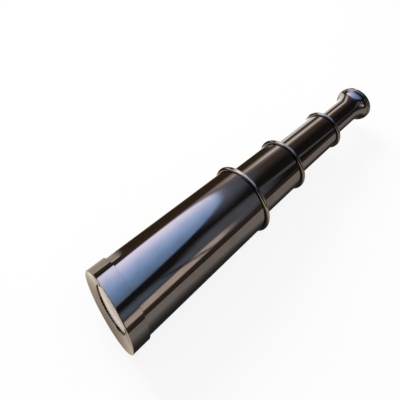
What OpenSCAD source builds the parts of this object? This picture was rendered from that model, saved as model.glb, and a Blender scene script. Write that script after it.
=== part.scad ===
// Three-draw hand spyglass, lying on its side and fully drawn out.
// The optical axis runs along +X from the objective to the eyepiece, and +Z is up.
// Profiles are turned about that axis: each point is [radius, distance from the front rim].

/* [Tubes] */
// Outside diameter of the main barrel
barrel_diameter = 47.8; // [40:0.2:58]
// Step in radius from each tube to the next smaller one
tube_step = 4.1; // [3.6:0.1:4.9]
// Wall of the main barrel
barrel_wall = 1.6; // [1:0.1:2]
// Wall of the three draw tubes
draw_wall = 0.5; // [0.4:0.1:0.8]
// Length from the front rim to the rear end of the main barrel
barrel_length = 110; // [90:1:140]
// Length of the first draw that shows between its two collars
draw_1_exposed = 45; // [30:1:56]
// Length of the second draw that shows between its two collars
draw_2_exposed = 58; // [40:1:70]
// Length of the third draw that shows between collar and eyecup
draw_3_exposed = 37; // [25:1:60]
// Length of the first draw that stays inside the barrel
draw_1_overlap = 44; // [24:1:50]
// Length of the second draw that stays inside the first
draw_2_overlap = 34; // [24:1:45]
// Length of the third draw that stays inside the second
draw_3_overlap = 34; // [24:1:45]

/* [Collars and guides] */
// How far a collar's bead stands out from its tube
bead_height = 2.2; // [1:0.1:3]
// Width of a collar's bead along the axis
bead_width = 3.4; // [2:0.1:5]
// Depth of the fine groove between a tube's end and its bead
joint_groove = 0.4; // [0.2:0.1:0.6]
// Length of the tapered shoulder behind a bead
shoulder_length = 1.6; // [1:0.1:3]
// Height of the shoulder's rear edge above the draw tube
shoulder_rise = 1.3; // [0.8:0.1:1.8]
// Length of the collar neck inside the tube that holds it
neck_length = 6.5; // [6:0.5:12]
// Wall of the split spring sleeve that grips a draw tube
sleeve_wall = 0.6; // [0.5:0.05:0.9]
// Height of the lip that keeps a sleeve in its collar
sleeve_lip = 0.6; // [0.4:0.05:0.8]
// Width of the slit along a sleeve
sleeve_slit = 1.2; // [0.6:0.1:2]
// Length of the stop ring on the front end of a draw
stop_ring_length = 4; // [3:0.5:8]

/* [Objective] */
// How far the bezel stands out from the barrel
bezel_step = 1.1; // [0.8:0.1:2]
// Length of the bezel along the axis
bezel_length = 11; // [8:0.5:16]
// Depth of the bezel's dished face at its opening
dish_depth = 1.5; // [0.5:0.1:2.5]
// Thickness of the bezel's lip at its opening
lip_thickness = 0.8; // [0.8:0.1:2]
// Depth behind the lip of the seat for the barrel and the lens cell
seat_depth = 3.7; // [1.7:0.1:4]
// Width of the flat rim around the dished face
rim_width = 1; // [0.7:0.1:1.5]
// Wall of the cell around the objective lenses
cell_wall = 3.7; // [3:0.1:5]
// Length of the cell behind the objective lenses
cell_tail = 8; // [3:0.5:8]
// How far the bezel's lip covers the flat edge of the lens
lens_cover = 3.6; // [2.4:0.1:4.4]
// Edge thickness of the crown lens
crown_edge = 2.6; // [2:0.1:4]
// Bulge of each face of the crown lens
crown_sag = 1.1; // [0.6:0.1:1.3]
// Edge thickness of the flint lens
flint_edge = 3.4; // [2.8:0.1:5]
// Hollow of the front face of the flint lens
flint_sag = 1; // [0.6:0.1:1.2]
// Thickness of the spacer between the two lenses
spacer_thickness = 0.8; // [0.4:0.1:1.5]

/* [Erector] */
// Length of the tube that holds the two erecting lenses
erector_length = 36; // [24:1:40]
// Edge thickness of each erecting lens
erector_edge = 2.2; // [1.5:0.1:3]
// Bulge of the curved face of each erecting lens
erector_sag = 1.2; // [0.6:0.1:1.4]
// Diameter of the hole in the stop between the erecting lenses
erector_stop_hole = 4; // [2:0.5:6]

/* [Eyepiece] */
// How far the eyecup's rim flares out from the third draw
cup_flare = 5.4; // [3:0.1:8]
// Length of the flare from the tube to the rim
flare_length = 18; // [12:0.5:24]
// Width of the rounded rim of the eyecup
cup_rim = 4.8; // [3.6:0.2:7]
// Radius of the two rounded corners of the eyecup's rim
cup_rim_round = 1.4; // [0.8:0.1:1.6]
// Wall of the eyecup behind its flare
cup_wall = 1.6; // [1:0.1:2]
// Depth of the eyecup's hollow
cup_depth = 10.5; // [6:0.5:12]
// Length of the eyecup's spigot inside the third draw
spigot_length = 8; // [5:0.5:12]
// Thickness of the web around the eye hole
web_thickness = 1.5; // [1:0.1:2.5]
// Length of the cell that holds the two eyepiece lenses
eyepiece_length = 26; // [22:0.5:30]
// Edge thickness of each eyepiece lens
eye_edge = 2; // [1.5:0.1:3]
// Bulge of the curved face of each eyepiece lens
eye_sag = 1.6; // [0.8:0.1:1.8]
// Diameter of the hole in the field stop
field_stop_hole = 9; // [5:0.5:10]

/* [Fits] */
// Radial clearance between pieces that are screwed or pressed together
seat_gap = 0.03; // [0.02:0.01:0.05]
// Radial clearance between a sleeve and the draw that slides in it
slide_fit = 0.05; // [0.03:0.01:0.08]
// Radial clearance between a sleeve and the collar that it turns in
turn_fit = 0.08; // [0.04:0.01:0.1]
// Clearance between faces that pass or stop each other
pass_gap = 0.3; // [0.2:0.05:0.4]

/* [Hidden] */
turn_sides = 96;
arc_steps = 12;
edge_break = 0.3;
// How far a cutting block runs past the solid that it cuts
overrun = 1;
spanner_notch = 1.2;
// Outside radius of each tube: the barrel first, then the draws
tube_radii = [for (i = [0:3]) barrel_diameter / 2 - i * tube_step];
bore_radii = [for (i = [0:3]) tube_radii[i] - (i == 0 ? barrel_wall : draw_wall)];
overlaps = [draw_1_overlap, draw_2_overlap, draw_3_overlap];
collar_length = joint_groove + bead_width + shoulder_length;
// Rear end of each tube
barrel_end = barrel_length;
draw_1_end = barrel_end + collar_length + draw_1_exposed;
draw_2_end = draw_1_end + collar_length + draw_2_exposed;
draw_3_end = draw_2_end + collar_length + draw_3_exposed;
tube_ends = [barrel_end, draw_1_end, draw_2_end, draw_3_end];
// Front end of each tube: the barrel's meets the seat inside the bezel
lip_back = dish_depth + lip_thickness;
seat_back = lip_back + seat_depth;
tube_starts = [seat_back, for (i = [0:2]) tube_ends[i] - overlaps[i]];
// Sleeve, lip and groove places, measured forward from the end of the tube around them
sleeve_back = 2;
lip_back_edge = 3.4;
lip_front_edge = 5;
lip_play = 0.15;
mouth_chamfer = 0.4;
// Objective
bezel_radius = tube_radii[0] + bezel_step;
lens_gap = 0.1;
retainer_width = 1.9;
retainer_thickness = 1.6;
lens_radius = bore_radii[0] - cell_wall;
aperture_radius = lens_radius - lens_cover;
crown_front = lip_back;
crown_back = crown_front + crown_edge;
flint_front = crown_back + spacer_thickness;
flint_back = flint_front + flint_edge;
retainer_back = flint_back + retainer_thickness;
cell_back = flint_back + cell_tail;
// Erector
erector_wall = 0.8;
small_land = 1;
small_retainer = 1.4;
// How much further a small lens's flat edge reaches in than the ring that holds it
land_margin = 0.1;
erector_stop_thickness = 1;
erector_radius = bore_radii[3] - seat_gap;
erector_pocket = erector_radius - erector_wall;
erector_bore = erector_pocket - small_land;
erector_front = tube_starts[3];
erector_back = erector_front + erector_length;
pocket_depth = erector_edge + small_retainer;
// Eyecup and eyepiece
spigot_wall = 1.2;
eye_cell_wall = 0.8;
cup_radius = tube_radii[3] + cup_flare;
cup_start = draw_3_end;
flare_end = cup_start + flare_length;
rim_groove = 0.5;
// Angle at which the eyecup's rim curves out of the fine groove
rim_start_angle = -60;
overall_length = flare_end + cup_rim;
web_back = overall_length - cup_depth;
web_front = web_back - web_thickness;
eye_cell_radius = bore_radii[3] - spigot_wall - 2 * seat_gap;
eye_bore = eye_cell_radius - eye_cell_wall;
eye_hole_inset = 2.6;
eye_hole = eye_bore - eye_hole_inset;
eye_cell_front = web_front - eyepiece_length;
eye_seat_thickness = 1;
eye_lens_back = web_front - eye_seat_thickness;
eye_lens_front = eye_lens_back - eye_edge;
field_lens_front = eye_cell_front + small_retainer;
field_lens_back = field_lens_front + eye_edge;
spacer_wall = 0.8;
field_stop_front = (field_lens_back + eye_lens_front) / 2;
field_stop_thickness = 0.8;
stop_seat_thickness = 1;
// The axis lies at the radius of the largest collar above the surface
axis_height = tube_radii[0] + bead_height;
// Colours
black_nickel = "#2b2a2e";
dark_brass = "#4a4138";
matt_black = "#1a1a1b";
spring_brass = "#a98a4c";
clear_glass = [0.80, 0.86, 0.84, 0.6];

// Points of an elliptical arc about [radius, place], from one angle to another
function arc(centre, across, along, from, to) = [
    for (k = [0:arc_steps])
        let (a = from + (to - from) * k / arc_steps)
            [centre[0] + across * cos(a), centre[1] + along * sin(a)]
];

// Points of a spherical cap from the axis out to its edge, bulging by sag towards lower places
function cap(edge_radius, edge_place, sag) =
    let (ball = (edge_radius * edge_radius + sag * sag) / (2 * abs(sag)))
    let (turn = asin(edge_radius / ball))
    let (way = sag > 0 ? 1 : -1)
        [for (k = [0:arc_steps])
            let (a = turn * k / arc_steps)
                [ball * sin(a), edge_place - sag + way * ball * (1 - cos(a))]];

function reversed(points) = [for (k = [len(points) - 1:-1:0]) points[k]];

module along_axis() {
    translate([-overall_length / 2, 0, axis_height]) rotate([0, 90, 0]) children();
}

module turned(profile) {
    along_axis() rotate_extrude($fn = turn_sides) polygon(profile);
}

// A plain ring with both outer edges broken
module ring(inner, outer, front, back, edge = 0) {
    turned([
        [inner, front], [outer - edge, front], [outer, front + edge],
        [outer, back - edge], [outer - edge, back], [inner, back]
    ]);
}

// A lens with flat lands round its two faces; a sag above zero bulges, below zero is hollow
module lens(radius, land, front, back, front_sag, back_sag) {
    face = radius - land;
    front_face = front_sag == 0 ? [[0, front]] : cap(face, front, front_sag);
    back_face = back_sag == 0 ? [[0, back]] : reversed([for (p = cap(face, 0, back_sag)) [p[0], back - p[1]]]);
    turned(concat(front_face, [[radius, front], [radius, back]], back_face));
}

// A threaded retaining ring with two notches for a pin spanner in its face at notched
module spanner_ring(inner, outer, front, back, notched) {
    difference() {
        ring(inner, outer, front, back);
        along_axis() translate([0, 0, notched])
            cube([2 * (outer + overrun), spanner_notch, spanner_notch], center = true);
    }
}

// The collar screwed into the rear end of tube number i, with its bead outside and its neck inside
module collar(i) {
    end = tube_ends[i];
    tube = tube_radii[i];
    draw = tube_radii[i + 1];
    neck = bore_radii[i] - seat_gap;
    pocket = draw + slide_fit + sleeve_wall + turn_fit;
    groove = pocket + sleeve_lip;
    mouth = draw + pass_gap;
    bead_front = end + joint_groove;
    bead_back = bead_front + bead_width;
    rear = end + collar_length;
    bead = arc([tube, bead_front + bead_width / 2], bead_height, bead_width / 2, -90, 90);
    turned(concat(
        [[neck, end - neck_length], [neck, end], [tube - joint_groove, end], [tube - joint_groove, bead_front]],
        bead,
        [
            [tube - joint_groove, bead_back], [draw + shoulder_rise, rear],
            [mouth + mouth_chamfer, rear], [mouth, rear - mouth_chamfer],
            [mouth, end - sleeve_back], [pocket, end - sleeve_back],
            [pocket, end - lip_back_edge], [groove, end - lip_back_edge],
            [groove, end - lip_front_edge], [pocket, end - lip_front_edge],
            [pocket, end - neck_length]
        ]
    ));
}

// The split spring sleeve that grips draw i + 1; its lip sits in the groove of collar i
module guide_sleeve(i) {
    end = tube_ends[i];
    inner = tube_radii[i + 1] + slide_fit;
    outer = inner + sleeve_wall;
    lip = outer + sleeve_lip;
    front = tube_starts[i + 1] + stop_ring_length + pass_gap;
    slit_depth = 2 * (sleeve_wall + sleeve_lip + overrun);
    difference() {
        turned([
            [inner, front], [outer, front],
            [outer, end - lip_front_edge + lip_play], [lip, end - lip_front_edge + lip_play],
            [lip, end - lip_back_edge - lip_play], [outer, end - lip_back_edge - lip_play],
            [outer, end - sleeve_back - lip_play], [inner, end - sleeve_back - lip_play]
        ]);
        along_axis() translate([-inner - sleeve_wall, 0, (front + end) / 2])
            cube([slit_depth, sleeve_slit, end - front + 2 * overrun], center = true);
    }
}

// Draw tube number i, from its front end inside the larger tube to its rear end
module draw_tube(i) {
    ring(bore_radii[i], tube_radii[i], tube_starts[i], tube_ends[i]);
}

// The ring on the front end of draw i that runs in the larger tube and stops against its sleeve
module stop_ring(i) {
    front = tube_starts[i];
    ring(tube_radii[i] + seat_gap, bore_radii[i - 1] - turn_fit, front, front + stop_ring_length, edge_break);
}

module objective_bezel() {
    skirt = tube_radii[0] + seat_gap;
    color(black_nickel) turned([
        [aperture_radius, dish_depth], [bezel_radius - rim_width, 0], [bezel_radius - edge_break, 0],
        [bezel_radius, edge_break], [bezel_radius, bezel_length - edge_break],
        [bezel_radius - edge_break, bezel_length], [skirt, bezel_length],
        [skirt, seat_back], [lens_radius + lens_gap, seat_back],
        [lens_radius + lens_gap, lip_back], [aperture_radius, lip_back]
    ]);
}

module objective_retaining_ring() {
    color(matt_black) spanner_ring(lens_radius - retainer_width, lens_radius,
        flint_back, retainer_back, retainer_back);
}

module objective_crown_lens() {
    color(clear_glass) lens(lens_radius, lens_cover, crown_front, crown_back, crown_sag, crown_sag);
}

module objective_spacer_ring() {
    color(matt_black) ring(lens_radius - retainer_width, lens_radius, crown_back, flint_front);
}

module objective_flint_lens() {
    color(clear_glass) lens(lens_radius, lens_cover, flint_front, flint_back, -flint_sag, 0);
}

module objective_cell() {
    outer = bore_radii[0] - seat_gap;
    pocket = lens_radius + lens_gap;
    color(matt_black) turned([
        [pocket, seat_back], [outer, seat_back], [outer, cell_back], [pocket, cell_back]
    ]);
}

module main_barrel_tube() {
    color(black_nickel) ring(bore_radii[0], tube_radii[0], tube_starts[0], tube_ends[0]);
}

module barrel_collar() { color(black_nickel) collar(0); }
module draw_1_collar() { color(black_nickel) collar(1); }
module draw_2_collar() { color(black_nickel) collar(2); }

module barrel_guide_sleeve() { color(spring_brass) guide_sleeve(0); }
module draw_1_guide_sleeve() { color(spring_brass) guide_sleeve(1); }
module draw_2_guide_sleeve() { color(spring_brass) guide_sleeve(2); }

module draw_tube_1() { color(black_nickel) draw_tube(1); }
module draw_tube_2() { color(black_nickel) draw_tube(2); }
module draw_tube_3() { color(black_nickel) draw_tube(3); }

module draw_1_stop_ring() { color(dark_brass) stop_ring(1); }
module draw_2_stop_ring() { color(dark_brass) stop_ring(2); }
module draw_3_stop_ring() { color(dark_brass) stop_ring(3); }

// A tube with a lens pocket at each end
module erector_tube() {
    color(matt_black) turned([
        [erector_pocket, erector_front], [erector_radius, erector_front],
        [erector_radius, erector_back], [erector_pocket, erector_back],
        [erector_pocket, erector_back - pocket_depth], [erector_bore, erector_back - pocket_depth],
        [erector_bore, erector_front + pocket_depth], [erector_pocket, erector_front + pocket_depth]
    ]);
}

module erector_front_lens() {
    front = erector_front + small_retainer;
    color(clear_glass)
        lens(erector_pocket - seat_gap, small_land + land_margin, front, front + erector_edge, 0, erector_sag);
}

module erector_rear_lens() {
    back = erector_back - small_retainer;
    color(clear_glass)
        lens(erector_pocket - seat_gap, small_land + land_margin, back - erector_edge, back, erector_sag, 0);
}

module erector_front_retainer() {
    color(matt_black) spanner_ring(erector_bore, erector_pocket - seat_gap,
        erector_front, erector_front + small_retainer, erector_front);
}

module erector_rear_retainer() {
    color(matt_black) spanner_ring(erector_bore, erector_pocket - seat_gap,
        erector_back - small_retainer, erector_back, erector_back);
}

module erector_stop() {
    middle = (erector_front + erector_back) / 2;
    color(matt_black) ring(erector_stop_hole / 2, erector_bore - seat_gap, middle, middle + erector_stop_thickness);
}

// Points of a concave flare that starts level at a neck and ends square to the axis
function flare(neck, from) = [
    for (p = arc([0, 0], 1, 1, from, 90))
        [neck + (cup_flare - rim_groove) * (1 - p[0]), cup_start + (flare_length - rim_groove) * p[1]]
];

// Turned bell: a concave flare, a fine groove, a rounded rim and a hollow for the eye
module eyecup() {
    spigot = bore_radii[3] - seat_gap;
    bore = eye_cell_radius + seat_gap;
    hollow_from = asin((web_back - cup_start) / (flare_length - rim_groove));
    corner = cup_radius - cup_rim_round;
    rim_front = arc([corner, flare_end + cup_rim_round], cup_rim_round, cup_rim_round, rim_start_angle, 0);
    rim_back = arc([corner, overall_length - cup_rim_round], cup_rim_round, cup_rim_round, 0, 90);
    color(black_nickel) turned(concat(
        [[bore, cup_start - spigot_length], [spigot, cup_start - spigot_length], [spigot, cup_start]],
        flare(tube_radii[3], 0),
        [[cup_radius - 2 * rim_groove, flare_end]],
        rim_front,
        rim_back,
        reversed(flare(tube_radii[3] - cup_wall, hollow_from)),
        [[eye_hole, web_back], [eye_hole, web_front], [bore, web_front]]
    ));
}

module eyepiece_cell() {
    color(matt_black) turned([
        [eye_bore, eye_cell_front], [eye_cell_radius, eye_cell_front],
        [eye_cell_radius, web_front], [eye_bore - small_land, web_front],
        [eye_bore - small_land, eye_lens_back], [eye_bore, eye_lens_back]
    ]);
}

module field_lens() {
    color(clear_glass)
        lens(eye_bore - seat_gap, small_land + land_margin, field_lens_front, field_lens_back, eye_sag, 0);
}

module eye_lens() {
    color(clear_glass)
        lens(eye_bore - seat_gap, small_land + land_margin, eye_lens_front, eye_lens_back, eye_sag, 0);
}

// A tube between the two lenses with a seat for the field stop half way
module eyepiece_spacer() {
    outer = eye_bore - seat_gap;
    inner = outer - spacer_wall;
    stop_back = field_stop_front + field_stop_thickness;
    color(matt_black) turned([
        [inner, field_lens_back], [outer, field_lens_back], [outer, eye_lens_front],
        [inner, eye_lens_front], [inner, stop_back + stop_seat_thickness],
        [inner - small_land, stop_back + stop_seat_thickness], [inner - small_land, stop_back],
        [inner, stop_back]
    ]);
}

module field_stop() {
    outer = eye_bore - 2 * seat_gap - spacer_wall;
    color(matt_black)
        ring(field_stop_hole / 2, outer, field_stop_front, field_stop_front + field_stop_thickness);
}

module eyepiece_retaining_ring() {
    color(matt_black)
        spanner_ring(eye_bore - small_land, eye_bore - seat_gap,
            eye_cell_front, field_lens_front, eye_cell_front);
}

objective_bezel();
objective_retaining_ring();
objective_crown_lens();
objective_spacer_ring();
objective_flint_lens();
objective_cell();
main_barrel_tube();
barrel_collar();
barrel_guide_sleeve();
draw_tube_1();
draw_1_stop_ring();
draw_1_collar();
draw_1_guide_sleeve();
draw_tube_2();
draw_2_stop_ring();
draw_2_collar();
draw_2_guide_sleeve();
draw_tube_3();
draw_3_stop_ring();
erector_tube();
erector_front_lens();
erector_rear_lens();
erector_front_retainer();
erector_rear_retainer();
erector_stop();
eyecup();
eyepiece_cell();
field_lens();
field_stop();
eyepiece_spacer();
eye_lens();
eyepiece_retaining_ring();
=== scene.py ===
"""Looks for a three-draw hand spyglass that lies fully drawn out on a pale studio floor.

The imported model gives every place: the optical axis runs along +X, +Z is up, and sizes here are
in millimetres from the front rim unless a name or a docstring says otherwise.
"""

import logging
import math
from abc import ABC, abstractmethod
from dataclasses import dataclass, field
from enum import Enum
from functools import reduce
from typing import Sequence

import bmesh
import bpy
from mathutils import Matrix, Vector


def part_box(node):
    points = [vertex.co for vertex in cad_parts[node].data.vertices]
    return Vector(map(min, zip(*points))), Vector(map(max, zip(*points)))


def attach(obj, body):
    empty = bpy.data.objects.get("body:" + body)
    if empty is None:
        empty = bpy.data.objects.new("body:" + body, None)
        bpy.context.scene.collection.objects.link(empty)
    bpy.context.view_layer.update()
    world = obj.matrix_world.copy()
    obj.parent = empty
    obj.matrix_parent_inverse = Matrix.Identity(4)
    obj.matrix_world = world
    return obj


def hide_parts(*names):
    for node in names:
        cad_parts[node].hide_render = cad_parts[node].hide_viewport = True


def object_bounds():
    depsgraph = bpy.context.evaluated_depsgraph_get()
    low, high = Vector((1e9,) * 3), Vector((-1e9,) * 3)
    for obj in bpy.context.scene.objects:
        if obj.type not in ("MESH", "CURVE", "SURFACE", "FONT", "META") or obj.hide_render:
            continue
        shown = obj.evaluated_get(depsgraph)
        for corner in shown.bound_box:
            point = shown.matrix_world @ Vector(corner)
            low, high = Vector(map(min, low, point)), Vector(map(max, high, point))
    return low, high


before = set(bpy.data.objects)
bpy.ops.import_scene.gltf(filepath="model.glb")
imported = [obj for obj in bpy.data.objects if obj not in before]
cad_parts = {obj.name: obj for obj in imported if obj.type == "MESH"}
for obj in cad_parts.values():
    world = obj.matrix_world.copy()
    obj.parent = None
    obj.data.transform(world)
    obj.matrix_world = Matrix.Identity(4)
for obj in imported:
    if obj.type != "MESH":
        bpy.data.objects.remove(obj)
CAD_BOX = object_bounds()

log = logging.getLogger("spyglass")

MM = 0.001
SEGMENTS = 256
SHARP_ANGLE = math.radians(32)
CAP_STEPS = 28
EASE_STEPS = 6
EASE_FADE = 0.5  # share of the wear that goes at the ends of a rounding
BRACE = 0.12
BRACED_LENGTH = 5 * BRACE
STREAK_DENSITY = 0.16  # streaks to a fine line
SEAT_GAP = 0.03
WHITE = (1.0, 1.0, 1.0)

Colour = tuple[float, float, float]
Range = tuple[float, float]
Row = list[bmesh.types.BMVert]
Node = bpy.types.Node
Tree = bpy.types.NodeTree
Socket = bpy.types.NodeSocket
Input = Socket | float | Sequence[float]


class Body(Enum):
    """The moving bodies that carry turned pieces."""

    BARREL = "barrel"
    DRAW_1 = "draw_1"
    DRAW_2 = "draw_2"
    DRAW_3 = "draw_3"


class Slot(Enum):
    """The finishes that the record names."""

    BLACK_NICKEL = "black_nickel"
    DARK_BRASS = "dark_brass"
    SPRING_BRASS = "spring_brass"
    MATT_BLACK_BRASS = "matt_black_brass"
    BLACK_ALUMINIUM = "black_aluminium"
    OPTICAL_GLASS = "optical_glass"


# Sections and turning


@dataclass(frozen=True)
class Corner:
    """One corner of a turned section.

    ease is the length that rounding takes off each side, and wear says how much of the plating
    is rubbed off there, from 0 to 1.
    """

    radius: float
    place: float
    ease: float = 0.0
    wear: float = 0.0

    def spot(self) -> Vector:
        """Gives the corner as a point of the section."""
        return Vector((self.radius, self.place))


@dataclass(frozen=True)
class Rub:
    """Wear along an arc: its peak from 0 to 1, and that peak's angle and half width in degrees."""

    peak: float = 0.0
    at: float = 0.0
    width: float = 1.0

    def wear(self, angle: float) -> float:
        """Gives the wear at an angle of the arc."""
        return self.peak * max(0.0, 1 - abs(angle - self.at) / self.width)


@dataclass(frozen=True)
class Span:
    """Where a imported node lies: its front, its back and its greatest radius."""

    front: float
    back: float
    radius: float


@dataclass(frozen=True)
class Axis:
    """The optical axis: x of the front rim and height above the floor, in metres."""

    front: float
    height: float

    @classmethod
    def of_model(cls) -> "Axis":
        """Finds the axis from the box of the model and of its smallest draw tube."""
        low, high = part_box("draw_tube_3")
        return cls(front=CAD_BOX[0].x, height=(low.z + high.z) / 2)

    def span(self, node: str) -> Span:
        """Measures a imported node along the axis."""
        low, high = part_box(node)
        return Span(
            front=(low.x - self.front) / MM,
            back=(high.x - self.front) / MM,
            radius=(high.y - low.y) / 2 / MM,
        )

    def point(self, corner: Corner, index: int) -> Vector:
        """Gives the place in metres of a corner that is turned by some of the segments."""
        angle = 2 * math.pi * index / SEGMENTS
        out = corner.radius * MM
        return Vector((
            self.front + corner.place * MM,
            out * math.cos(angle),
            self.height + out * math.sin(angle),
        ))


def arc(centre: Range, size: Range, sweep: Range, steps: int, rub: Rub = Rub()) -> list[Corner]:
    """Gives the corners of an elliptical arc in a section.

    Args:
        centre: Radius and place of its middle.
        size: Half sizes away from the axis and along it.
        sweep: First and last angle in degrees; 0 points away from the axis and 90 to the rear.
        steps: Number of straight steps.
        rub: Wear along the arc.

    Returns:
        The corners from start to end.
    """
    corners = []
    (across, along), (start, end) = size, sweep
    for step in range(steps + 1):
        angle = start + (end - start) * step / steps
        turn = math.radians(angle)
        radius, place = centre[0] + across * math.cos(turn), centre[1] + along * math.sin(turn)
        corners.append(Corner(radius, place, wear=rub.wear(angle)))
    return corners


def cap(radius: float, place: float, sag: float) -> list[Corner]:
    """Gives the face of a lens from the axis out to its edge.

    Args:
        radius: Radius of the edge of the face.
        place: Place of the edge along the axis.
        sag: Bulge towards the front, or below zero a hollow; zero makes the face flat.

    Returns:
        The corners from the axis outwards.
    """
    if sag == 0:
        return [Corner(0, place)]
    ball = (radius**2 + sag**2) / (2 * abs(sag))
    turn = math.asin(radius / ball)
    way = math.copysign(1, sag)
    angles = [turn * step / CAP_STEPS for step in range(CAP_STEPS + 1)]
    return [
        Corner(ball * math.sin(angle), place - sag + way * ball * (1 - math.cos(angle)))
        for angle in angles
    ]


def eased(corners: Sequence[Corner]) -> list[Corner]:
    """Rounds each corner that has an ease.

    Args:
        corners: The corners in order.

    Returns:
        The corners with the roundings in place.
    """
    result: list[Corner] = []
    for index, corner in enumerate(corners):
        if corner.ease == 0:
            result.append(corner)
            continue
        here = corner.spot()
        ends = []
        for other in (corners[index - 1], corners[(index + 1) % len(corners)]):
            side = other.spot() - here
            ends.append(here + side.normalized() * min(corner.ease, side.length / 2))
        for step in range(EASE_STEPS + 1):
            t = step / EASE_STEPS
            spot = (1 - t) ** 2 * ends[0] + 2 * t * (1 - t) * here + t**2 * ends[1]
            result.append(Corner(*spot, wear=corner.wear * (1 - abs(2 * t - 1) * EASE_FADE)))
    return result


def braced(corners: Sequence[Corner]) -> list[Corner]:
    """Adds a ring close to each end of every long straight stretch, so that it shades straight.

    Args:
        corners: The corners in order.

    Returns:
        The corners with the extra rings.
    """
    result: list[Corner] = []
    for index, corner in enumerate(corners):
        result.append(corner)
        here, there = corner.spot(), corners[(index + 1) % len(corners)].spot()
        length = (there - here).length
        if length > BRACED_LENGTH and min(here.x, there.x) > 0:
            for share in (BRACE / length, 1 - BRACE / length):
                result.append(Corner(*here.lerp(there, share)))
    return result


def linked(name: str, data: bpy.types.ID) -> bpy.types.Object:
    """Makes an object of a mesh, a lamp or a camera, and links it to the scene."""
    thing = bpy.data.objects.new(name, data)
    bpy.context.scene.collection.objects.link(thing)
    return thing


@dataclass(frozen=True)
class Lathe:
    """Turns sections about the optical axis into smooth meshes."""

    axis: Axis

    def turn(self, name: str, section: Sequence[Corner]) -> bpy.types.Object:
        """Turns a section into a mesh object.

        Args:
            name: Name of the piece.
            section: A closed loop clear of the axis, or an open line that starts and ends on it.

        Returns:
            The new object, linked to the scene.
        """
        solid = bmesh.new()
        wear = solid.verts.layers.float.new("wear")
        rows: list[Row] = []
        for ring in braced(eased(section)):
            turns = SEGMENTS if ring.radius > 0 else 1
            rows.append([solid.verts.new(self.axis.point(ring, index)) for index in range(turns)])
            for vertex in rows[-1]:
                vertex[wear] = ring.wear
        last = rows[:1] if section[0].radius > 0 else []
        for first, second in zip(rows, rows[1:] + last):
            self._bridge(solid, first, second)
        bmesh.ops.recalc_face_normals(solid, faces=solid.faces)
        for face in solid.faces:
            face.smooth = True
        mesh = bpy.data.meshes.new(name)
        solid.to_mesh(mesh)
        solid.free()
        mesh.set_sharp_from_angle(angle=SHARP_ANGLE)
        return linked(name, mesh)

    @staticmethod
    def _bridge(solid: bmesh.types.BMesh, first: Row, second: Row) -> None:
        """Joins two rings with faces.

        Args:
            solid: The mesh that is turned.
            first: One ring, or a single vertex on the axis.
            second: The next one.
        """
        for index in range(SEGMENTS):
            after = (index + 1) % SEGMENTS
            way = ((first, index), (first, after), (second, after), (second, index))
            corners = [row[spot % len(row)] for row, spot in way]
            solid.faces.new(list(dict.fromkeys(corners)))


# Node wiring and shared effects


class Wiring:
    """Adds nodes to a tree and feeds their inputs."""

    def __init__(self, tree: Tree) -> None:
        """Keeps the tree that the nodes go into."""
        self.tree = tree

    def _set(self, socket: Socket, source: Input) -> None:
        """Links an input to a socket, or sets its value, with full alpha for a colour."""
        if isinstance(source, Socket):
            self.tree.links.new(source, socket)
        else:
            socket.default_value = (*source, 1.0) if socket.type == "RGBA" else source

    def feed(self, node: Node, *sources: Input, **named: object) -> None:
        """Sets a node's properties and feeds its inputs.

        Args:
            node: The node.
            *sources: What feeds its first inputs, in their order.
            **named: Properties, all in lower case, and what feeds inputs by their names, with
                underscores for spaces.
        """
        for key, value in named.items():
            if key.islower():
                setattr(node, key, value)
            else:
                self._set(node.inputs[key.replace("_", " ")], value)
        for socket, source in zip(node.inputs, sources):
            self._set(socket, source)

    def add(self, kind: str, *sources: Input, **named: object) -> Node:
        """Adds a node of a kind and feeds it."""
        node = self.tree.nodes.new(kind)
        self.feed(node, *sources, **named)
        return node

    def place(self, group: Tree, **values: Input) -> dict[str, Socket]:
        """Places a node group, fed by name, and gives its outputs by name."""
        node = self.add("ShaderNodeGroup", node_tree=group, **values)
        return {output.name: output for output in node.outputs}

    def math(self, operation: str, *sources: Input, clamp: bool = False) -> Socket:
        """Adds a Math node and returns its value."""
        return self.add("ShaderNodeMath", *sources, operation=operation, use_clamp=clamp).outputs[0]

    def add_up(self, base: Input, *parts: tuple[Input, float]) -> Input:
        """Adds to a value the share that goes with each mask."""
        return reduce(lambda total, part: self.math("MULTIPLY_ADD", *part, total), parts, base)

    def ramp(self, value: Input, edges: Sequence[Input], results: Range = (0.0, 1.0)) -> Socket:
        """Maps a value smoothly from between two edges to between two results."""
        sources = (value, *edges, *results)
        return self.add("ShaderNodeMapRange", *sources, interpolation_type="SMOOTHSTEP").outputs[0]

    def mix(self, share: Input, first: Input, second: Input) -> Socket:
        """Mixes two colours.

        Args:
            share: The part of the second.
            first: The first colour.
            second: The second colour.

        Returns:
            The mixed colour.
        """
        node = self.add("ShaderNodeMix", share, data_type="RGBA")
        colours = [socket for socket in node.inputs if socket.type == "RGBA"]
        for socket, source in zip(colours, (first, second)):
            self._set(socket, source)
        return next(socket for socket in node.outputs if socket.type == "RGBA")

    def choose(self, share: Input, first: Socket, second: Socket) -> Socket:
        """Mixes two shaders, with share as the part of the second."""
        return self.add("ShaderNodeMixShader", share, first, second).outputs[0]

    def coordinates(self, kind: str) -> Sequence[Socket]:
        """Gives x, y and z of one kind of texture coordinates."""
        place = self.add("ShaderNodeTexCoord").outputs[kind]
        return self.add("ShaderNodeSeparateXYZ", place).outputs

    def noise(self, place: Socket, **settings: float) -> Socket:
        """Reads a Noise Texture at a place, with its settings by name."""
        return self.add("ShaderNodeTexNoise", Vector=place, **settings).outputs["Fac"]

    def bump(self, height: Socket, depth: float, strength: float) -> Socket:
        """Turns a height from 0 to 1 into a normal, with the depth of 1 in metres."""
        node = self.add("ShaderNodeBump", Height=height, Distance=depth, Strength=strength)
        return node.outputs[0]


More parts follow.
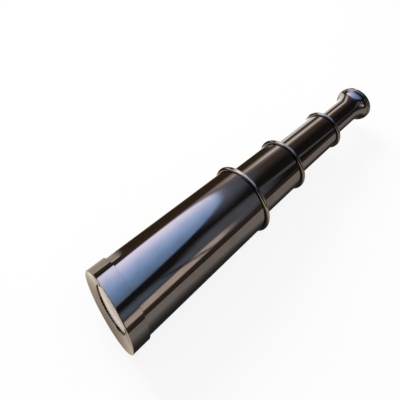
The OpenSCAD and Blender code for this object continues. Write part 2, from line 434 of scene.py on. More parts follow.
class Effect(Wiring):
    """A shader node group with named sockets, built once and shared by the finishes."""

    def __init__(self, name: str, inputs: Sequence[str], outputs: Sequence[str]) -> None:
        """Makes the empty group with its sockets, which all hold numbers.

        Args:
            name: Name of the group.
            inputs: Names of its inputs.
            outputs: Names of its outputs.
        """
        super().__init__(bpy.data.node_groups.new(name, "ShaderNodeTree"))
        add_socket = self.tree.interface.new_socket
        for way, labels in (("INPUT", inputs), ("OUTPUT", outputs)):
            for label in labels:
                add_socket(label, in_out=way, socket_type="NodeSocketFloat")
        self.inputs = self.add("NodeGroupInput").outputs
        self.result = self.add("NodeGroupOutput")

    def stretched(self, along: Input, around: Input) -> Socket:
        """Gives the piece's own coordinates, stretched by factors along and across the axis."""
        factors = zip(self.coordinates("Object"), (along, around, around))
        parts = [self.math("MULTIPLY", part, factor) for part, factor in factors]
        return self.add("ShaderNodeCombineXYZ", *parts).outputs[0]

    def scaled(self) -> Socket:
        """Gives the piece's own coordinates times the group's input Scale."""
        return self.stretched(self.inputs["Scale"], self.inputs["Scale"])


def lathe_lines() -> Tree:
    """Builds the fine lines that turning and polishing leave round a piece.

    Returns:
        A group with inputs Density, lines a metre, and Stretch, and outputs Height and Streaks.
    """
    effect = Effect("Lathe Lines", ("Density", "Stretch"), ("Height", "Streaks"))
    density, stretch = effect.inputs["Density"], effect.inputs["Stretch"]
    broad = effect.stretched(effect.math("MULTIPLY", density, STREAK_DENSITY), stretch)
    streaks = effect.noise(broad, Scale=1.0, Detail=4.0)
    effect.feed(
        effect.result,
        Height=effect.noise(effect.stretched(density, stretch), Scale=1.0, Detail=3.0),
        Streaks=effect.ramp(streaks, edges=(0.35, 0.75)),
    )
    return effect.tree


def edge_wear() -> Tree:
    """Builds the broken line along an edge where hands have rubbed the finish thin.

    Returns:
        A group with inputs Amount and Scale, and output Mask.
    """
    effect = Effect("Edge Wear", ("Amount", "Scale"), ("Mask",))
    worn = effect.add("ShaderNodeAttribute", attribute_name="wear").outputs["Fac"]
    strong = effect.math("MULTIPLY", worn, effect.inputs["Amount"], clamp=True)
    broken = effect.noise(effect.scaled(), Scale=1.0, Detail=3.0)
    broken = effect.ramp(broken, edges=(0.16, 0.46))
    effect.feed(effect.result, Mask=effect.math("MULTIPLY", strong, broken, clamp=True))
    return effect.tree


def handling_marks() -> Tree:
    """Builds the faint smears and specks that handling and cloths leave on a finish.

    Returns:
        A group with input Scale, and outputs Smear and Specks.
    """
    effect = Effect("Handling Marks", ("Scale",), ("Smear", "Specks"))
    place = effect.scaled()
    smear = effect.noise(place, Scale=1.0, Detail=5.0, Roughness=0.62)
    specks = effect.noise(place, Scale=26.0, Detail=2.0)
    effect.feed(
        effect.result,
        Smear=effect.ramp(smear, edges=(0.42, 0.72)),
        Specks=effect.ramp(specks, edges=(0.68, 0.80)),
    )
    return effect.tree


def fine_grain() -> Tree:
    """Builds the grain of a sprayed or anodised surface.

    Returns:
        A group with input Scale, and outputs Height and Tone.
    """
    effect = Effect("Fine Grain", ("Scale",), ("Height", "Tone"))
    place = effect.scaled()
    effect.feed(
        effect.result,
        Height=effect.noise(place, Scale=1.0, Detail=4.0, Roughness=0.65),
        Tone=effect.noise(place, Scale=0.08, Detail=4.0),
    )
    return effect.tree


def studio_card() -> Tree:
    """Builds the soft-edged outline of a light or card, by direction as a Card gives it.

    Returns:
        A group with the direction and the card's sizes as inputs, and output Mask.
    """
    sizes = ("Middle Along", "Middle Around", "Half Along", "Half Around")
    effect = Effect(
        "Studio Card", ("Along", "Around", *sizes, "Tilt", "Squareness", "Softness"), ("Mask",)
    )
    calc, inputs = effect.math, effect.inputs
    off_along = calc("SUBTRACT", inputs["Along"], inputs["Middle Along"])
    lean = calc("MULTIPLY", off_along, inputs["Tilt"])
    off_around = calc("SUBTRACT", inputs["Around"], inputs["Middle Around"])
    off_around = calc("SUBTRACT", off_around, lean)
    powers = []
    for off, half in ((off_along, "Half Along"), (off_around, "Half Around")):
        share = calc("ABSOLUTE", calc("DIVIDE", off, inputs[half]))
        powers.append(calc("POWER", share, inputs["Squareness"]))
    root = calc("DIVIDE", 1.0, inputs["Squareness"])
    reach = calc("POWER", calc("ADD", *powers), root)
    outside = calc("ADD", 1.0, inputs["Softness"])
    inside = calc("SUBTRACT", 1.0, inputs["Softness"])
    effect.feed(effect.result, Mask=effect.ramp(reach, (outside, inside)))
    return effect.tree


@dataclass(frozen=True)
class Effects:
    """The effects that the finishes share, each built once."""

    lines: Tree = field(default_factory=lathe_lines)
    wear: Tree = field(default_factory=edge_wear)
    marks: Tree = field(default_factory=handling_marks)
    grain: Tree = field(default_factory=fine_grain)


# Finishes


@dataclass(frozen=True)
class Finish(ABC):
    """A finish of the record, which makes one Blender material.

    A name that ends in _rough is what a full mask adds to the roughness, and one that ends in
    _depth is in metres.
    """

    slot: Slot
    effects: Effects

    def material(self) -> bpy.types.Material:
        """Makes the material with its shader and wires it.

        Returns:
            The material.
        """
        made = bpy.data.materials.new(self.slot.value)
        made.use_nodes = True
        shader = next(n for n in made.node_tree.nodes if n.type == "BSDF_PRINCIPLED")
        self.wire(Wiring(made.node_tree), shader)
        return made

    @abstractmethod
    def wire(self, wiring: Wiring, shader: Node) -> None:
        """Feeds the shader's sockets.

        Args:
            wiring: The material's tree.
            shader: Its Principled BSDF.
        """


@dataclass(frozen=True)
class BlackNickel(Finish):
    """Mirror-polished black nickel on brass, rubbed to warm metal along its rims."""

    plate: Colour = (0.138, 0.124, 0.114)
    deep: Colour = (0.120, 0.110, 0.103)
    rubbed: Colour = (0.33, 0.265, 0.21)
    edge_tint: Colour = (0.62, 0.60, 0.58)
    polish: float = 0.05
    smear_rough: float = 0.035
    streak_rough: float = 0.02
    worn_rough: float = 0.20
    line_depth: float = 1.0e-6
    line_strength: float = 0.5

    def wire(self, wiring: Wiring, shader: Node) -> None:
        """Feeds plate colour, rubbed rims, faint smears and polishing lines.

        Args:
            wiring: The material's tree.
            shader: Its Principled BSDF.
        """
        lines = wiring.place(self.effects.lines, Density=900.0, Stretch=6.0)
        smear = wiring.place(self.effects.marks, Scale=70.0)["Smear"]
        worn = wiring.place(self.effects.wear, Amount=0.8, Scale=110.0)["Mask"]
        rough = wiring.add_up(
            self.polish, (smear, self.smear_rough), (lines["Streaks"], self.streak_rough),
            (worn, self.worn_rough),
        )
        wiring.feed(
            shader, Metallic=1.0, Specular_Tint=self.edge_tint, Roughness=rough,
            Base_Color=wiring.mix(worn, wiring.mix(smear, self.plate, self.deep), self.rubbed),
            Normal=wiring.bump(lines["Height"], self.line_depth, self.line_strength),
        )


@dataclass(frozen=True)
class TurnedBrass(Finish):
    """Bare turned brass with visible tool lines and a patina in patches."""

    bright: Colour = (0.62, 0.45, 0.20)
    patina: Colour = (0.30, 0.20, 0.10)
    smooth: float = 0.28
    smear_rough: float = 0.18
    streak_rough: float = 0.08
    line_depth: float = 6.0e-6
    line_strength: float = 0.8

    def wire(self, wiring: Wiring, shader: Node) -> None:
        """Feeds brass, its patina, specks and tool lines.

        Args:
            wiring: The material's tree.
            shader: Its Principled BSDF.
        """
        lines = wiring.place(self.effects.lines, Density=2200.0, Stretch=12.0)
        marks = wiring.place(self.effects.marks, Scale=120.0)
        tone = wiring.mix(marks["Smear"], self.bright, self.patina)
        rough = wiring.add_up(
            self.smooth, (marks["Smear"], self.smear_rough), (lines["Streaks"], self.streak_rough)
        )
        wiring.feed(
            shader, Metallic=1.0, Roughness=rough,
            Base_Color=wiring.mix(marks["Specks"], tone, self.patina),
            Normal=wiring.bump(lines["Height"], self.line_depth, self.line_strength),
        )


@dataclass(frozen=True)
class MattBlack(Finish):
    """A black coat against glare, on turned metal that shows where an edge is rubbed."""

    coat: Colour = (0.016, 0.016, 0.017)
    faded: Colour = (0.036, 0.034, 0.033)
    bare: Colour = (0.32, 0.25, 0.15)
    smooth: float = 0.55
    smear_rough: float = 0.15
    line_share: float = 0.6
    grain_depth: float = 1.2e-5
    grain_strength: float = 0.6

    def wire(self, wiring: Wiring, shader: Node) -> None:
        """Feeds the coat, its rubbed edges and its grain over faint tool lines.

        Args:
            wiring: The material's tree.
            shader: Its Principled BSDF.
        """
        lines = wiring.place(self.effects.lines, Density=1800.0, Stretch=10.0)
        grain = wiring.place(self.effects.grain, Scale=3500.0)
        marks = wiring.place(self.effects.marks, Scale=160.0)
        worn = wiring.place(self.effects.wear, Amount=0.7, Scale=500.0)["Mask"]
        tone = wiring.mix(grain["Tone"], self.coat, self.faded)
        tone = wiring.mix(marks["Specks"], tone, self.faded)
        height = wiring.add_up(grain["Height"], (lines["Height"], self.line_share))
        wiring.feed(
            shader, Metallic=worn, Base_Color=wiring.mix(worn, tone, self.bare),
            Roughness=wiring.add_up(self.smooth, (marks["Smear"], self.smear_rough)),
            Normal=wiring.bump(height, self.grain_depth, self.grain_strength),
        )


@dataclass(frozen=True)
class OpticalGlass(Finish):
    """Polished lens glass with a finger smear."""

    tint: Colour = (0.82, 0.76, 0.64)
    index: float = 1.52
    mirror: float = 0.35
    smear_rough: float = 0.03

    def wire(self, wiring: Wiring, shader: Node) -> None:
        """Feeds clear glass whose roughness follows the smears.

        Args:
            wiring: The material's tree.
            shader: Its Principled BSDF.
        """
        smear = wiring.place(self.effects.marks, Scale=90.0)["Smear"]
        wiring.feed(
            shader, Base_Color=self.tint, Metallic=0.0, Transmission_Weight=1.0, IOR=self.index,
            Specular_IOR_Level=self.mirror,
            Roughness=wiring.math("MULTIPLY", smear, self.smear_rough),
        )


class Finishes:
    """All the finishes of the spyglass, each made once."""

    def __init__(self) -> None:
        """Makes the shared effects and every material."""
        effects = Effects()
        made: list[Finish] = [
            BlackNickel(Slot.BLACK_NICKEL, effects),
            TurnedBrass(
                Slot.DARK_BRASS, effects,
                bright=(0.30, 0.21, 0.11), patina=(0.14, 0.10, 0.06), smooth=0.34,
            ),
            TurnedBrass(Slot.SPRING_BRASS, effects),
            MattBlack(Slot.MATT_BLACK_BRASS, effects),
            MattBlack(
                Slot.BLACK_ALUMINIUM, effects, coat=(0.022, 0.022, 0.024),
                faded=(0.045, 0.045, 0.048), bare=(0.55, 0.55, 0.56), smooth=0.42,
            ),
            OpticalGlass(Slot.OPTICAL_GLASS, effects),
        ]
        self.materials = {finish.slot: finish.material() for finish in made}

    def dress(self, piece: bpy.types.Object, slot: Slot) -> None:
        """Puts a finish on every slot of a piece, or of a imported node.

        Args:
            piece: The mesh object.
            slot: The finish.
        """
        if not piece.material_slots:
            piece.data.materials.append(self.materials[slot])
        for held in piece.material_slots:
            held.material = self.materials[slot]


# The spyglass


@dataclass(frozen=True)
class Workshop:
    """What every sub-assembly is made with."""

    lathe: Lathe
    finishes: Finishes

    def span(self, node: str) -> Span:
        """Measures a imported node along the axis."""
        return self.lathe.axis.span(node)

    def fit(self, name: str, section: Sequence[Corner], node: str, body: Body, slot: Slot) -> None:
        """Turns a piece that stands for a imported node, dresses it and mounts it on its body.

        Args:
            name: Name of the piece.
            section: Its section.
            node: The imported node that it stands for.
            body: The body that it rides on.
            slot: Its finish.
        """
        piece = self.lathe.turn(name, section)
        self.finishes.dress(piece, slot)
        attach(piece, body.value)
        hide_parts(node)
        log.info("%s turned in %s, on %s", name, slot.value, body.value)

    def fit_lens(
        self, name: str, node: str, body: Body, land: float, front: float, rear: float = 0.0
    ) -> None:
        """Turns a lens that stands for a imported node, and fits it.

        Args:
            name: Name of the piece.
            node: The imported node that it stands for.
            body: The body that it rides on.
            land: Width of the flat ring round its faces.
            front: Bulge of the front face, or below zero its hollow.
            rear: Bulge of the rear face.
        """
        span = self.span(node)
        edge, back, face = span.front + max(front, 0.0), span.back - rear, span.radius - land
        behind = [Corner(c.radius, back - c.place) for c in cap(face, 0.0, rear)]
        section = [
            *cap(face, edge, front),
            Corner(span.radius, edge), Corner(span.radius, back),
            *reversed(behind),
        ]
        self.fit(name, section, node, body, Slot.OPTICAL_GLASS)

    def keep(self, slot: Slot, *nodes: str) -> None:
        """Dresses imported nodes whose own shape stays.

        Args:
            slot: Their finish.
            *nodes: Their names.
        """
        for node in nodes:
            self.finishes.dress(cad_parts[node], slot)
            log.info("%s kept and finished in %s", node, slot.value)


@dataclass(frozen=True)
class SubAssembly(ABC):
    """A group of pieces that are put together as one."""

    shop: Workshop

    @abstractmethod
    def build(self) -> None:
        """Builds and dresses every piece of the sub-assembly."""


@dataclass(frozen=True)
class Objective(SubAssembly):
    """The front end: the dished bezel, the two lenses and the cell that holds them."""

    aperture: float = 15.0
    dish_depth: float = 1.5
    flat_rim: float = 1.0
    seat: float = 6.0
    lens_gap: float = 0.1
    lens_land: float = 3.6
    crown_sag: float = 1.1
    flint_sag: float = 1.0

    def build(self) -> None:
        """Builds the bezel, the lenses and the cell, and dresses the two rings."""
        self.bezel()
        self.shop.fit_lens(
            "crown_lens", "objective_crown_lens", Body.BARREL, self.lens_land,
            front=self.crown_sag, rear=self.crown_sag,
        )
        self.shop.fit_lens(
            "flint_lens", "objective_flint_lens", Body.BARREL, self.lens_land, front=-self.flint_sag
        )
        self.cell()
        self.shop.keep(Slot.MATT_BLACK_BRASS, "objective_retaining_ring", "objective_spacer_ring")

    def bezel(self) -> None:
        """Turns the bezel with its dished face, flat rim and eased edges."""
        span, crown = self.shop.span("objective_bezel"), self.shop.span("objective_crown_lens")
        skirt = self.shop.span("main_barrel_tube").radius + SEAT_GAP
        pocket, lip_back = crown.radius + self.lens_gap, crown.front + self.crown_sag
        section = [
            Corner(self.aperture, self.dish_depth, ease=0.15, wear=0.5),
            Corner(span.radius - self.flat_rim, span.front, ease=0.2, wear=0.3),
            Corner(span.radius, span.front, ease=0.5, wear=0.3),
            Corner(span.radius, span.back, ease=0.15, wear=0.1),
            Corner(skirt, span.back), Corner(skirt, self.seat),
            Corner(pocket, self.seat), Corner(pocket, lip_back),
            Corner(self.aperture, lip_back, ease=0.1),
        ]
        self.shop.fit("dished_bezel", section, "objective_bezel", Body.BARREL, Slot.BLACK_NICKEL)

    def cell(self) -> None:
        """Turns the cell, a heavy ring round the lenses and the ring that holds them."""
        span = self.shop.span("objective_cell")
        pocket = self.shop.span("objective_crown_lens").radius + self.lens_gap
        section = [
            Corner(pocket, span.front), Corner(span.radius, span.front),
            Corner(span.radius, span.back, ease=0.3),
            Corner(pocket, span.back, ease=0.4, wear=0.6),
        ]
        self.shop.fit("lens_cell", section, "objective_cell", Body.BARREL, Slot.MATT_BLACK_BRASS)


@dataclass(frozen=True)
class Tube(SubAssembly):
    """A plain drawn tube: the barrel or one of the three draws."""

    name: str
    node: str
    body: Body
    wall: float = 0.5
    edge: float = 0.1

    def build(self) -> None:
        """Turns the tube with its two ends just broken."""
        span = self.shop.span(self.node)
        bore = span.radius - self.wall
        section = [
            Corner(bore, span.front, ease=self.edge),
            Corner(span.radius, span.front, ease=self.edge, wear=0.5),
            Corner(span.radius, span.back, ease=self.edge, wear=0.5),
            Corner(bore, span.back, ease=self.edge),
        ]
        self.shop.fit(self.name, section, self.node, self.body, Slot.BLACK_NICKEL)


@dataclass(frozen=True)
class SlideCollar(SubAssembly):
    """The collar screwed into a tube's rear end, with the split sleeve and stop ring inside it.

    neck_length, pocket_from, lip_from and lip_to are measured forward from the tube's end.
    """

    name: str
    node: str
    tube: str
    draw: str
    sleeve: str
    stop: str
    body: Body
    bore: float
    crest: Rub = Rub(0.45, at=-20, width=42)
    neck_length: float = 6.5
    groove: float = 0.4
    bead_width: float = 3.4
    bead_height: float = 2.2
    shoulder_rise: float = 1.3
    mouth_gap: float = 0.3
    mouth_chamfer: float = 0.4
    pocket_gap: float = 0.73
    pocket_from: float = 2.0
    lip: float = 0.6
    lip_from: float = 3.4
    lip_to: float = 5.0

    def build(self) -> None:
        """Turns the collar and dresses the sleeve and the stop ring."""
        rear = self.shop.span(self.node).back
        tube, draw = self.shop.span(self.tube), self.shop.span(self.draw).radius
        end, front = tube.back, tube.back - self.neck_length
        neck, waist = self.bore - SEAT_GAP, tube.radius - self.groove
        mouth, pocket = draw + self.mouth_gap, draw + self.pocket_gap
        half = self.bead_width / 2
        section = [
            Corner(neck, front), Corner(neck, end),
            Corner(waist, end), Corner(waist, end + self.groove),
            *arc(
                (tube.radius, end + self.groove + half), (self.bead_height, half), (-90, 90),
                steps=40, rub=self.crest,
            ),
            Corner(waist, end + self.groove + self.bead_width),
            Corner(draw + self.shoulder_rise, rear, ease=0.35, wear=0.6),
            Corner(mouth + self.mouth_chamfer, rear, ease=0.1),
            Corner(mouth, rear - self.mouth_chamfer, ease=0.1),
            Corner(mouth, end - self.pocket_from), Corner(pocket, end - self.pocket_from),
            Corner(pocket, end - self.lip_from), Corner(pocket + self.lip, end - self.lip_from),
            Corner(pocket + self.lip, end - self.lip_to), Corner(pocket, end - self.lip_to),
            Corner(pocket, front),
        ]
        self.shop.fit(self.name, section, self.node, self.body, Slot.BLACK_NICKEL)
        self.shop.keep(Slot.SPRING_BRASS, self.sleeve)
        self.shop.keep(Slot.DARK_BRASS, self.stop)


@dataclass(frozen=True)
class Erector(SubAssembly):
    """The tube in the third draw whose two lenses turn the picture upright."""

    def build(self) -> None:
        """Dresses the erector's own pieces."""
        self.shop.keep(
            Slot.BLACK_ALUMINIUM,
            "erector_tube", "erector_front_retainer", "erector_rear_retainer", "erector_stop",
        )
        self.shop.keep(Slot.OPTICAL_GLASS, "erector_front_lens", "erector_rear_lens")


@dataclass(frozen=True)
class Eyepiece(SubAssembly):
    """The flared eyecup and the cell with the two eyepiece lenses behind it."""

    flare_length: float = 18.0
    fine_groove: float = 0.5
    rim_round: float = 1.4
    rim_start: float = -60.0
    front_rub: Rub = Rub(0.35, at=0, width=40)
    rear_rub: Rub = Rub(0.6, at=45, width=40)
    wall: float = 1.6
    hollow_depth: float = 10.5
    web: float = 1.5
    eye_hole: float = 6.44
    spigot_length: float = 8.0
    draw_bore: float = 11.1
    cell_bore: float = 9.04
    cell_lip: float = 1.0
    lens_seat: float = 1.0
    lens_land: float = 1.1
    eye_sag: float = 1.6

    def build(self) -> None:
        """Builds the eyecup, the cell and the eye lens, and dresses the rest."""
        self.eyecup()
        self.cell()
        self.shop.fit_lens(
            "eye_lens_glass", "eye_lens", Body.DRAW_3, self.lens_land, front=self.eye_sag
        )
        self.shop.keep(Slot.OPTICAL_GLASS, "field_lens")
        self.shop.keep(
            Slot.BLACK_ALUMINIUM, "field_stop", "eyepiece_spacer", "eyepiece_retaining_ring"
        )

    def flare(self, neck: float, start: float) -> list[Corner]:
        """Gives the concave flare, up to the place where it stands square to the axis.

        Args:
            neck: Radius where the flare would start level with the tube.
            start: Place at which the corners begin.

        Returns:
            The corners towards the rim.
        """
        tube, rim = self.shop.span("draw_tube_3"), self.shop.span("eyecup").radius
        rise, run = rim - tube.radius - self.fine_groove, self.flare_length - self.fine_groove
        from_angle = math.degrees(math.asin((start - tube.back) / run))
        return [
            Corner(neck + rise * (1 - c.radius), tube.back + run * c.place)
            for c in arc((0, 0), (1, 1), (from_angle, 90), steps=36)
        ]

    def eyecup(self) -> None:
        """Turns the bell: spigot, flare, fine groove, rounded rim, hollow and eye hole."""
        cup, tube = self.shop.span("eyecup"), self.shop.span("draw_tube_3")
        seat = self.shop.span("eyepiece_cell").radius + SEAT_GAP
        spigot, spigot_front = self.draw_bore - SEAT_GAP, tube.back - self.spigot_length
        flare_end = tube.back + self.flare_length
        web_back = cup.back - self.hollow_depth
        corner, size = cup.radius - self.rim_round, (self.rim_round, self.rim_round)
        front_round = arc(
            (corner, flare_end + self.rim_round), size, (self.rim_start, 0),
            steps=12, rub=self.front_rub,
        )
        rear_round = arc(
            (corner, cup.back - self.rim_round), size, (0, 90), steps=14, rub=self.rear_rub
        )
        section = [
            Corner(seat, spigot_front), Corner(spigot, spigot_front), Corner(spigot, tube.back),
            *self.flare(tube.radius, tube.back),
            Corner(cup.radius - 2 * self.fine_groove, flare_end),
            *front_round,
            *rear_round,
            *reversed(self.flare(tube.radius - self.wall, web_back)),
            Corner(self.eye_hole, web_back, ease=0.15, wear=0.5),
            Corner(self.eye_hole, web_back - self.web, ease=0.15),
            Corner(seat, web_back - self.web),
        ]
        self.shop.fit("flared_eyecup", section, "eyecup", Body.DRAW_3, Slot.BLACK_NICKEL)

    def cell(self) -> None:
        """Turns the cell with the lip that the eye lens seats against."""
        span = self.shop.span("eyepiece_cell")
        opening, seat = self.cell_bore - self.cell_lip, span.back - self.lens_seat
        section = [
            Corner(self.cell_bore, span.front), Corner(span.radius, span.front),
            Corner(span.radius, span.back), Corner(opening, span.back, ease=0.15, wear=0.4),
            Corner(opening, seat), Corner(self.cell_bore, seat),
        ]
        self.shop.fit("eye_lens_cell", section, "eyepiece_cell", Body.DRAW_3, Slot.BLACK_ALUMINIUM)


# The studio


@dataclass(frozen=True)
class Card:
    """A light or a card of the room, placed by direction and never seen by the camera itself.

    along and around are the middle and half size in each: along the axis from -1 to 1, and round
    the axis in degrees, where 0 looks to +Y, 90 up and 180 to -Y. One without a glow is a pane
    that shows the sky.
    """

    name: str
    glow: Colour | None
    along: Range
    around: Range
    tilt: float = 0.0
    square: float = 4.0
    soft: float = 0.1
    strength: float = 1.0


@dataclass(frozen=True)
class Room:
    """The room round the spyglass: white to the camera, cards to metal and glass, plain fill."""

    fill: float = 0.42
    gloom: Colour = (0.045, 0.043, 0.042)
    low_sky: Colour = (4.7, 4.9, 6.5)
    sky: tuple[tuple[Range, Colour], ...] = (
        ((20.0, 66.0), (1.85, 2.7, 4.6)),
        ((56.0, 92.0), (0.82, 1.45, 2.8)),
        ((88.0, 108.0), (0.60, 0.92, 1.55)),
    )
    cards: tuple[Card, ...] = (
        Card("warm glow", (0.27, 0.20, 0.17), (0.74, 0.30), (45.0, 32.0), soft=0.6),
        Card("window haze", (0.50, 0.56, 0.76), (0.46, 0.09), (55.0, 34.0), square=2.0, soft=0.7),
        Card("pink glow", (0.85, 0.74, 0.70), (0.74, 0.28), (36.0, 16.0), tilt=50.0, soft=0.6),
        Card("pink strip", (3.3, 3.1, 2.9), (0.80, 0.30), (42.0, 8.0), tilt=80.0, soft=0.55),
        Card("thin pale edge", (1.1, 0.98, 0.98), (0.46, 0.17), (17.0, 4.5), tilt=8.0, soft=0.6),
        Card("brown wall", (0.20, 0.13, 0.085), (0.10, 0.56), (0.0, 12.5), soft=0.18),
        Card("pale wall", (1.2, 1.1, 1.05), (0.85, 0.19), (2.0, 7.0), tilt=30.0, soft=0.5),
        Card("blue fan", (0.40, 0.43, 0.55), (0.45, 0.13), (141.0, 23.0), square=2.4, soft=0.35),
        Card(
            "low blue streak", (0.40, 0.52, 0.72), (0.19, 0.19), (138.0, 9.0),
            square=2.0, soft=0.7,
        ),
        Card(
            "far blue streak", (0.36, 0.38, 0.43), (0.66, 0.12), (138.0, 5.5),
            tilt=110.0, square=2.0, soft=0.6,
        ),
        Card(
            "tan strip", (2.3, 2.0, 1.75), (0.28, 0.17), (156.5, 9.0),
            tilt=-20.0, square=3.0, soft=0.22,
        ),
        Card("dark sash", (0.12, 0.12, 0.13), (0.33, 0.075), (146.0, 3.0), tilt=230.0, soft=0.5),
        Card("dark skirting", (0.16, 0.11, 0.085), (0.0, 1.2), (172.0, 6.5), soft=0.35),
        Card("far wall", (3.3, 2.9, 2.6), (1.0, 0.12), (50.0, 48.0), soft=0.2),
        Card("bright pane", (6.0, 5.9, 6.0), (-0.58, 0.16), (31.0, 20.0), square=3.0, soft=0.3),
        Card("far pane", None, (-0.45, 0.24), (76.0, 42.0), square=3.0, soft=0.12, strength=0.4),
        Card("window", None, (0.14, 0.335), (66.5, 45.0), tilt=-40.0, square=3.0, soft=0.05),
    )

    def build(self) -> None:
        """Makes the world."""
        world = bpy.data.worlds.new("studio_room")
        bpy.context.scene.world = world
        world.use_nodes = True
        world.cycles.sampling_method = "NONE"
        world.node_tree.nodes.clear()
        wiring = Wiring(world.node_tree)
        path = wiring.add("ShaderNodeLightPath").outputs
        colours = (WHITE, (self.fill,) * 3, self.shown(wiring))
        white, fill, room = (wiring.add("ShaderNodeBackground", c).outputs[0] for c in colours)
        mirrored = wiring.math("MAXIMUM", path["Is Glossy Ray"], path["Is Transmission Ray"])
        lit = wiring.choose(mirrored, fill, room)
        wiring.add("ShaderNodeOutputWorld", wiring.choose(path["Is Camera Ray"], lit, white))

    def shown(self, wiring: Wiring) -> Input:
        """Gives the colour that metal and glass show of the room, by direction.

        Args:
            wiring: The world's tree.

        Returns:
            The colour.
        """
        x, y, z = wiring.coordinates("Generated")
        around = wiring.math("DEGREES", wiring.math("ARCTAN2", z, y))
        sky: Input = self.low_sky
        for heights, colour in self.sky:
            sky = wiring.mix(wiring.ramp(around, heights), sky, colour)
        shape, result = studio_card(), self.gloom
        for card in self.cards:
            mask = wiring.place(
                shape, Along=x, Around=around, Middle_Along=card.along[0],
                Half_Along=card.along[1], Middle_Around=card.around[0],
                Half_Around=card.around[1], Tilt=card.tilt, Squareness=card.square,
                Softness=card.soft,
            )["Mask"]
            share = wiring.math("MULTIPLY", mask, card.strength)
            result = wiring.mix(share, result, sky if card.glow is None else card.glow)
            log.info("%s set up in the room", card.name)
        return result


@dataclass(frozen=True)
class Floor:
    """The plain pale floor, in metres.

    Metal shows painted light and shade on it in place of its lit paint: a painted sunlit side
    towards the window with a dark brown card there, painted shadow on the other side close to the
    spyglass, painted shade right under it, and a painted bright patch in front of the objective.
    Each _edge is the pair of places between which one colour gives way to the next, and each of
    the brown card's ends has such an edge and its lean.
    """

    radius: float = 3.0
    drop: float = 0.00005
    sides: int = 96
    paint: Colour = (0.93, 0.925, 0.915)
    lift: float = 0.86
    plain: Colour = (0.90, 0.86, 0.83)
    # Painted shadow beside the spyglass, with the places where it starts and how far it reaches.
    shaded: Colour = (0.07, 0.07, 0.08)
    shade_start: float = 0.028
    shade_places: Range = (-0.11, 0.03)
    shade_reach: Range = (0.125, 0.062)
    # Painted shade right under the spyglass.
    painted_shade_below: Colour = (0.62, 0.55, 0.46)
    painted_shade_below_edge: Range = (-0.025, 0.0)
    # Painted sunlight on the window side, brighter towards the rear.
    sunlit: Colour = (1.9, 1.75, 1.6)
    sunlit_rear: Colour = (3.5, 3.55, 3.6)
    sunlit_edge: Range = (0.02, 0.04)
    rear_edge: Range = (0.0, 0.11)
    brown: Colour = (0.17, 0.11, 0.07)
    brown_edge: Range = (0.048, 0.058)
    brown_ends: tuple[tuple[Range, float], ...] = (((-0.134, -0.124), -0.22), ((0.03, 0.0), -0.80))
    # Painted light: a patch in front of the objective that glows brighter than white.
    bright: Colour = (1.7, 1.5, 1.25)
    bright_edge: Range = (-0.142, -0.150)

    def build(self) -> None:
        """Makes the floor, which keeps the shadow and shows white to the camera."""
        mesh = bpy.data.meshes.new("studio_floor")
        sheet = bmesh.new()
        bmesh.ops.create_circle(sheet, cap_ends=True, radius=self.radius, segments=self.sides)
        sheet.to_mesh(mesh)
        sheet.free()
        mesh.materials.append(self.material())
        floor = linked("studio_floor", mesh)
        floor.location = (0, 0, -self.drop)
        log.info("floor laid")

    def material(self) -> bpy.types.Material:
        """Makes the floor's matt paint, lifted towards white for the camera only.

        Returns:
            The material.
        """
        paint = bpy.data.materials.new("studio_floor")
        paint.use_nodes = True
        paint.node_tree.nodes.clear()
        wiring = Wiring(paint.node_tree)
        path = wiring.add("ShaderNodeLightPath").outputs
        # Glossy rays see the painted light and shade of shown(); rays that came through glass see
        # the painted shade colour.
        shown = wiring.mix(path["Is Transmission Ray"], self.shown(wiring), self.shaded)
        matt = wiring.add("ShaderNodeBsdfDiffuse", self.paint).outputs[0]
        white = wiring.add("ShaderNodeEmission", WHITE).outputs[0]
        mirrored = wiring.add("ShaderNodeEmission", shown).outputs[0]
        seen = wiring.math("MULTIPLY", path["Is Camera Ray"], self.lift)
        lifted = wiring.choose(seen, matt, white)
        surface = wiring.choose(path["Is Glossy Ray"], lifted, mirrored)
        wiring.add("ShaderNodeOutputMaterial", surface)
        return paint

    def shown(self, wiring: Wiring) -> Socket:
        """Gives the painted light and shade that metal shows of the floor, by place.

        Args:
            wiring: The floor's material.

        Returns:
            The colour.
        """
        x, y, _ = wiring.coordinates("Object")
        # Painted shadow on the side away from the window, shorter towards the rear.
        reach = wiring.ramp(x, self.shade_places, self.shade_reach)
        light = wiring.ramp(wiring.math("MULTIPLY", y, -1.0), (self.shade_start, reach))
        colour = wiring.mix(light, self.shaded, self.plain)
        # Painted shade right under the spyglass.
        colour = wiring.mix(wiring.ramp(y, self.painted_shade_below_edge), colour, self.painted_shade_below)
        # Painted sunlight on the window side.
        sunlit = wiring.mix(wiring.ramp(x, self.rear_edge), self.sunlit, self.sunlit_rear)
        colour = wiring.mix(wiring.ramp(y, self.sunlit_edge), colour, sunlit)
        card = wiring.ramp(y, self.brown_edge)
        for edge, lean in self.brown_ends:
            side = wiring.ramp(wiring.add_up(x, (y, lean)), edge)
            card = wiring.math("MULTIPLY", card, side)
        colour = wiring.mix(card, colour, self.brown)
        # Painted light in front of the objective.
        return wiring.mix(wiring.ramp(x, self.bright_edge), colour, self.bright)


def outward(azimuth: float, elevation: float) -> Vector:
    """Gives the direction at an azimuth from +X towards +Y and an elevation, in degrees."""
    turn, rise = math.radians(azimuth), math.radians(elevation)
    level = math.cos(rise)
    return Vector((math.cos(turn) * level, math.sin(turn) * level, math.sin(rise)))


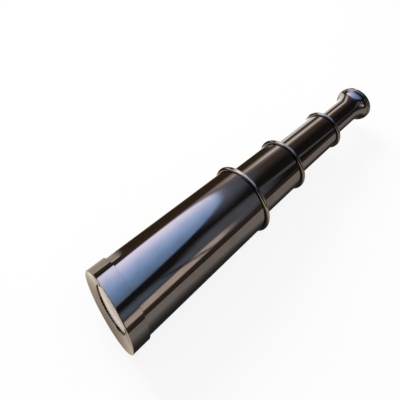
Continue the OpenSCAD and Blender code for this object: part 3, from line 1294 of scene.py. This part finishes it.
@dataclass(frozen=True)
class SoftLamp:
    """A square soft lamp aimed at the spyglass: angles in degrees, sizes in metres."""

    name: str
    azimuth: float
    elevation: float
    distance: float
    size: float
    watts: float

    def build(self) -> None:
        """Hangs the lamp; reflections show the room's cards in place of it."""
        lamp = bpy.data.lights.new(self.name, "AREA")
        lamp.shape = "SQUARE"
        lamp.size = self.size
        lamp.energy = self.watts
        hung = linked(self.name, lamp)
        out = outward(self.azimuth, self.elevation)
        hung.location = out * self.distance
        hung.rotation_euler = out.to_track_quat("Z", "Y").to_euler()
        hung.visible_camera = False
        hung.visible_glossy = False
        log.info("%s hung", self.name)


@dataclass(frozen=True)
class PhotoCamera:
    """The camera of the photograph: angles in degrees, place in metres."""

    azimuth: float = -139.18
    elevation: float = 37.44
    roll: float = 9.76
    place: tuple[float, float, float] = (-0.1794, -0.0709, 0.2637)
    sensor: float = 36.0
    lens: float = 32.63
    shift: Range = (-0.015, -0.335)

    def build(self) -> None:
        """Sets the camera up and makes it the scene's own."""
        back, level = outward(self.azimuth, self.elevation), outward(self.azimuth + 90, 0)
        roll = math.radians(self.roll)
        right = level * math.cos(roll) + back.cross(level) * math.sin(roll)
        turn = Matrix((right, back.cross(right), back)).transposed().to_4x4()
        data = bpy.data.cameras.new("photo_camera")
        data.sensor_width = self.sensor
        data.lens = self.lens
        data.shift_x, data.shift_y = self.shift
        camera = linked("photo_camera", data)
        camera.matrix_world = Matrix.Translation(self.place) @ turn
        bpy.context.scene.camera = camera
        log.info("camera placed")


def main() -> None:
    """Builds the studio and then the spyglass from its objective to its eyepiece."""
    logging.basicConfig(level=logging.INFO, format="%(name)s: %(message)s")
    bpy.context.scene.view_settings.view_transform = "Standard"
    studio = (
        PhotoCamera(),
        Floor(),
        Room(),
        SoftLamp("window_light", azimuth=95, elevation=36, distance=1.5, size=0.7, watts=19.0),
        SoftLamp("overhead_light", azimuth=-60, elevation=72, distance=1.6, size=1.2, watts=5.0),
    )
    for fitting in studio:
        fitting.build()
    shop = Workshop(Lathe(Axis.of_model()), Finishes())
    spyglass: tuple[SubAssembly, ...] = (
        Objective(shop),
        Tube(shop, "barrel_tube", "main_barrel_tube", Body.BARREL, wall=1.6),
        Tube(shop, "first_draw", "draw_tube_1", Body.DRAW_1),
        Tube(shop, "second_draw", "draw_tube_2", Body.DRAW_2),
        Tube(shop, "third_draw", "draw_tube_3", Body.DRAW_3),
        SlideCollar(
            shop, "barrel_rear_collar", "barrel_collar", "main_barrel_tube", "draw_tube_1",
            "barrel_guide_sleeve", "draw_1_stop_ring", Body.BARREL, bore=22.3,
            crest=Rub(1.0, at=-20, width=42),
        ),
        SlideCollar(
            shop, "first_draw_collar", "draw_1_collar", "draw_tube_1", "draw_tube_2",
            "draw_1_guide_sleeve", "draw_2_stop_ring", Body.DRAW_1, bore=19.3,
        ),
        SlideCollar(
            shop, "second_draw_collar", "draw_2_collar", "draw_tube_2", "draw_tube_3",
            "draw_2_guide_sleeve", "draw_3_stop_ring", Body.DRAW_2, bore=15.2,
        ),
        Erector(shop),
        Eyepiece(shop),
    )
    for assembly in spyglass:
        assembly.build()


if __name__ == "__main__":
    main()
